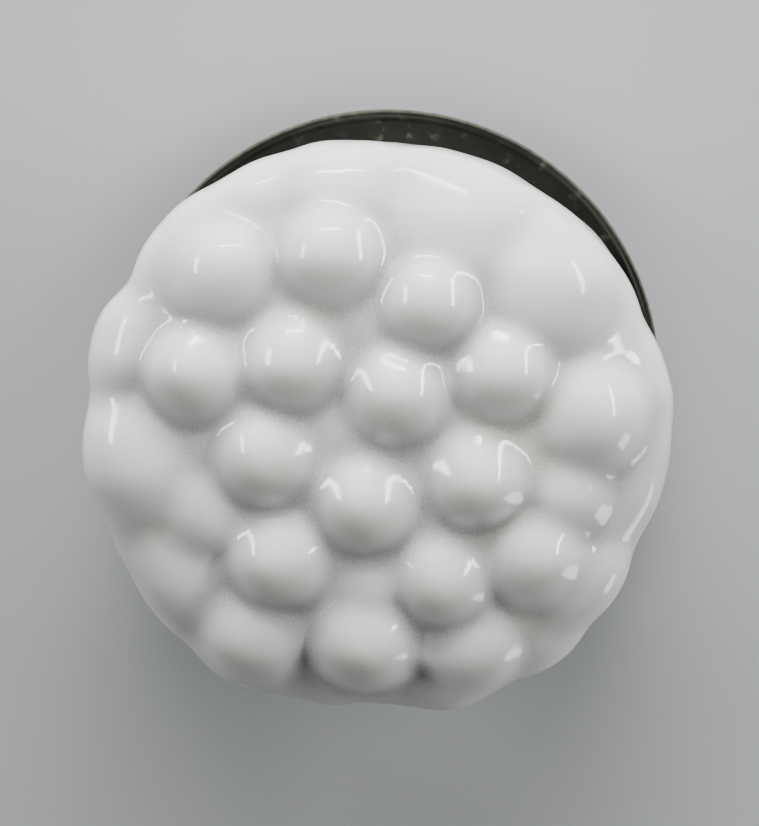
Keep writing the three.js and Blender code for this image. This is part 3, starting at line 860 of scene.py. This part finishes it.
class FROG_OT_pin_bed(bpy.types.Operator):
    """Build the brass plate and drive its field of ground pins into it"""

    bl_idname = "frog.pin_bed"
    bl_label = "Pin bed"

    def execute(self, context):
        holder = context.scene.frog_holder
        radius, top = PINS_HIGH.x, PINS_LOW.z + holder.plate_thickness
        plate = softened([(0.0, PINS_LOW.z), (radius, PINS_LOW.z), (radius, top), (0.0, top)],
                         holder.metal_edge)
        data = turned_mesh("pin_bed_fine", plate)
        # A pin from its root up: a burr where it was driven in, the shank, and the ground point.
        shank, tip, point = holder.pin_radius, PINS_HIGH.z, holder.pin_point
        burr, root = shank * 1.35, top - 0.3 * MM
        pin = [
            (0.0, root), (burr, root), (burr, top + 0.08 * MM), (shank, top + 0.3 * MM),
            (shank * 0.97, tip - point), (shank * 0.55, tip - point * 0.42),
            (shank * 0.12, tip - 0.08 * MM), (0.0, tip),
        ]
        one = turned_mesh("pin", pin, segments=PIN_SEGMENTS)
        field = bmesh.new()
        field.from_mesh(data)
        for x, y in self.centres(radius - holder.pin_margin, holder.pin_pitch):
            before = len(field.verts)
            field.from_mesh(one)
            field.verts.ensure_lookup_table()
            bmesh.ops.translate(field, vec=(x, y, 0.0), verts=field.verts[before:])
        field.to_mesh(data)
        field.free()
        bpy.data.meshes.remove(one)
        placed("pin_bed_fine", data, "dish", "pin_brass", "pin_bed",
               drawn_brass("pin_brass", holder, stained=0.65))
        return {"FINISHED"}

    @staticmethod
    def centres(reach, pitch):
        """Rows of equal pitch, every second row half a pitch along, inside a circle."""
        row_pitch = pitch * math.sqrt(3) / 2
        rows = math.floor(reach / row_pitch)
        columns = math.ceil(reach / pitch)
        for row in range(-rows, rows + 1):
            shift = 0.0 if row % 2 == 0 else pitch / 2
            for column in range(-columns, columns + 1):
                x, y = column * pitch + shift, row * row_pitch
                if math.hypot(x, y) <= reach:
                    yield x, y


class FROG_OT_weight(bpy.types.Operator):
    """Build the cast lead weight, the rubber sleeve round it and the putty that holds it"""

    bl_idname = "frog.weight"
    bl_label = "Lead, sleeve and putty"

    def execute(self, context):
        holder = context.scene.frog_holder
        radius, bevel = LEAD_HIGH.x, holder.lead_bevel
        lead = softened([(0.0, LEAD_LOW.z), (radius, LEAD_LOW.z), (radius, LEAD_HIGH.z - bevel),
                         (radius - bevel, LEAD_HIGH.z), (0.0, LEAD_HIGH.z)], holder.metal_edge)
        placed("lead_weight_fine", turned_mesh("lead_weight_fine", lead), "dish", "lead",
               "lead_weight", cast_lead(holder))

        outside, wall = SLEEVE_HIGH.x, holder.sleeve_wall
        inside = outside - wall
        sleeve = [(inside, SLEEVE_LOW.z), (outside, SLEEVE_LOW.z),
                  *arc(inside + wall / 2, SLEEVE_HIGH.z - wall / 2, wall / 2, 0, 180, 12)]
        placed("rubber_sleeve_fine", turned_mesh("rubber_sleeve_fine", sleeve, closed=True), "dish",
               "sleeve_rubber", "rubber_sleeve", moulded_rubber(holder))

        reach, low, high = PUTTY_HIGH.x, PUTTY_LOW.z, PUTTY_HIGH.z
        middle, half = (low + high) / 2, (high - low) / 2
        putty = [(0.0, low), *arc(reach - half, middle, half, -90, 90, 8), (0.0, high)]
        data = turned_mesh("setting_putty_fine", putty)
        points = read_points(data)
        # Pressed out by hand, so that its edge stops up to 6 % short, in a few lobes.
        turn = np.arctan2(points[:, 1], points[:, 0])
        squeezed = 1.0 - 0.03 * (1.0 + np.sin(3 * turn) * 0.6 + np.sin(7 * turn + 2.0) * 0.4)
        points[:, :2] *= squeezed[:, None]
        data.vertices.foreach_set("co", points.ravel())
        placed("setting_putty_fine", data, "dish", "putty", "setting_putty",
               florists_putty(holder))
        return {"FINISHED"}


# Each softbox: name, degrees to the right and up, distance, width and height in metres, power in
# watts, and whether the glaze mirrors it. The big one overhead shades the form, but is flagged off
# from the glaze.
SOFTBOXES = [
    ("left_strip", -57, 12, 0.75, 0.08, 0.34, 2.2, True),
    ("right_strip", 55, 16, 0.75, 0.055, 0.60, 4.0, True),
    ("right_window", 93, -32, 0.80, 0.20, 0.24, 1.2, True),
    ("top_strip", -6, 52, 0.80, 0.46, 0.018, 2.4, True),
    ("front_panel", -14, 40, 1.20, 0.90, 0.60, 3.0, True),
    ("top_box", -44, 77, 0.80, 1.00, 0.50, 31.0, False),
]

# The floor board, in metres: half its side, how far out it is level, and how steeply it then rises.
FLOOR_HALF = 1.6
FLOOR_LEVEL = 1.0
FLOOR_RISE = 0.5


class FROG_OT_stage(bpy.types.Operator):
    """Lay the floor, hang the softboxes and set the camera"""

    bl_idname = "frog.stage"
    bl_label = "Stage"

    def execute(self, context):
        stage = context.scene.frog_stage
        self.lay_floor(stage)
        tilt = stage.camera_tilt
        back = Vector((0.0, math.sin(tilt), math.cos(tilt)))
        up = Vector((0.0, math.cos(tilt), -math.sin(tilt)))
        right = Vector((1.0, 0.0, 0.0))
        belly = Vector((0.0, 0.0, FOOT_LEVEL + context.scene.frog_cover.belly_height))
        target = belly - right * stage.aim_left + up * stage.aim_above
        facing = Matrix((right, up, back)).transposed().to_4x4()

        camera = bpy.data.cameras.new("camera")
        camera.sensor_fit = "VERTICAL"
        camera.sensor_height = 24.0
        camera.lens = camera.sensor_height * stage.camera_distance / stage.view_height
        camera.clip_start = 0.02
        viewer = bpy.data.objects.new("camera", camera)
        viewer.matrix_world = Matrix.Translation(target + back * stage.camera_distance) @ facing
        context.scene.collection.objects.link(viewer)
        context.scene.camera = viewer

        for name, aside, above, away, width, height, power, mirrored in SOFTBOXES:
            aside, above = math.radians(aside), math.radians(above)
            toward = (right * math.sin(aside) * math.cos(above) + up * math.sin(above)
                      + back * math.cos(aside) * math.cos(above))
            light = bpy.data.lights.new(name, "AREA")
            light.shape = "RECTANGLE"
            light.size, light.size_y = width, height
            light.energy = power * stage.light
            lamp = bpy.data.objects.new(name, light)
            along = up.cross(toward).normalized()
            turned = Matrix((along, toward.cross(along), toward)).transposed().to_4x4()
            lamp.matrix_world = Matrix.Translation(target + toward * away) @ turned
            lamp.visible_glossy = mirrored
            context.scene.collection.objects.link(lamp)

        # The room: dim overhead and pale round the sides, so that low views have a pale wall.
        world = bpy.data.worlds.new("studio")
        world.use_nodes = True
        tree = world.node_tree
        direction = add_node(tree, "ShaderNodeTexCoord", output="Generated")
        height = add_node(tree, "ShaderNodeSeparateXYZ", {"Vector": direction}, output="Z")
        background = tree.nodes["Background"]
        background.inputs["Color"].default_value = linear(ROOM_GREY, 1.0)
        strength = add_node(tree, "ShaderNodeMapRange", {
            "Value": height, "From Min": 0.04, "From Max": 0.34, "To Min": 0.38, "To Max": 0.03},
            interpolation_type="SMOOTHSTEP")
        tree.links.new(strength, background.inputs["Strength"])
        context.scene.world = world
        return {"FINISHED"}

    @staticmethod
    def lay_floor(stage):
        """A square board, with its edges turned up out of sight so that it has no hard horizon."""
        mesh = bmesh.new()
        bmesh.ops.create_grid(mesh, x_segments=24, y_segments=24, size=FLOOR_HALF)
        for vert in mesh.verts:
            away = max(0.0, vert.co.xy.length - FLOOR_LEVEL)
            vert.co.z = FLOOR_RISE * away * away
        data = bpy.data.meshes.new("floor")
        mesh.to_mesh(data)
        mesh.free()
        data.shade_smooth()
        data.materials.append(matt_floor(stage))
        floor = bpy.data.objects.new("floor", data)
        bpy.context.scene.collection.objects.link(floor)


class FROG_PT_panel(bpy.types.Panel):
    """Lists the flower frog's settings and steps"""

    bl_idname = "FROG_PT_panel"
    bl_label = "Flower frog"
    bl_space_type = "VIEW_3D"
    bl_region_type = "UI"
    bl_category = "Flower frog"

    def draw(self, context):
        for group, heading in SETTINGS:
            column = self.layout.column(align=True)
            column.label(text=heading)
            settings = getattr(context.scene, group)
            for name in settings.__annotations__:
                column.prop(settings, name)
        steps = self.layout.column(align=True)
        steps.label(text="Build")
        for operator in OPERATORS:
            steps.operator(operator.bl_idname)


SETTINGS = [("frog_cover", "Cover"), ("frog_dish", "Dish"), ("frog_holder", "Pin holder"),
            ("frog_stage", "Stage")]
GROUPS = [FrogCoverSettings, FrogDishSettings, FrogHolderSettings, FrogStageSettings]
OPERATORS = [FROG_OT_stage, FROG_OT_cover, FROG_OT_gasket, FROG_OT_dish, FROG_OT_felt,
             FROG_OT_pin_bed, FROG_OT_weight]


def register():
    """Register the settings, operators and panel."""
    for kind in (*GROUPS, *OPERATORS, FROG_PT_panel):
        bpy.utils.register_class(kind)
    for (name, _), group in zip(SETTINGS, GROUPS):
        setattr(bpy.types.Scene, name, bpy.props.PointerProperty(type=group))


def unregister():
    """Undo register, last first."""
    for name, _ in SETTINGS:
        delattr(bpy.types.Scene, name)
    for kind in reversed((*GROUPS, *OPERATORS, FROG_PT_panel)):
        bpy.utils.unregister_class(kind)


def main():
    """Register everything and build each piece."""
    register()
    bpy.ops.frog.stage()
    bpy.ops.frog.cover()
    bpy.ops.frog.gasket()
    bpy.ops.frog.dish()
    bpy.ops.frog.felt()
    bpy.ops.frog.pin_bed()
    bpy.ops.frog.weight()


if __name__ == "__main__":
    main()
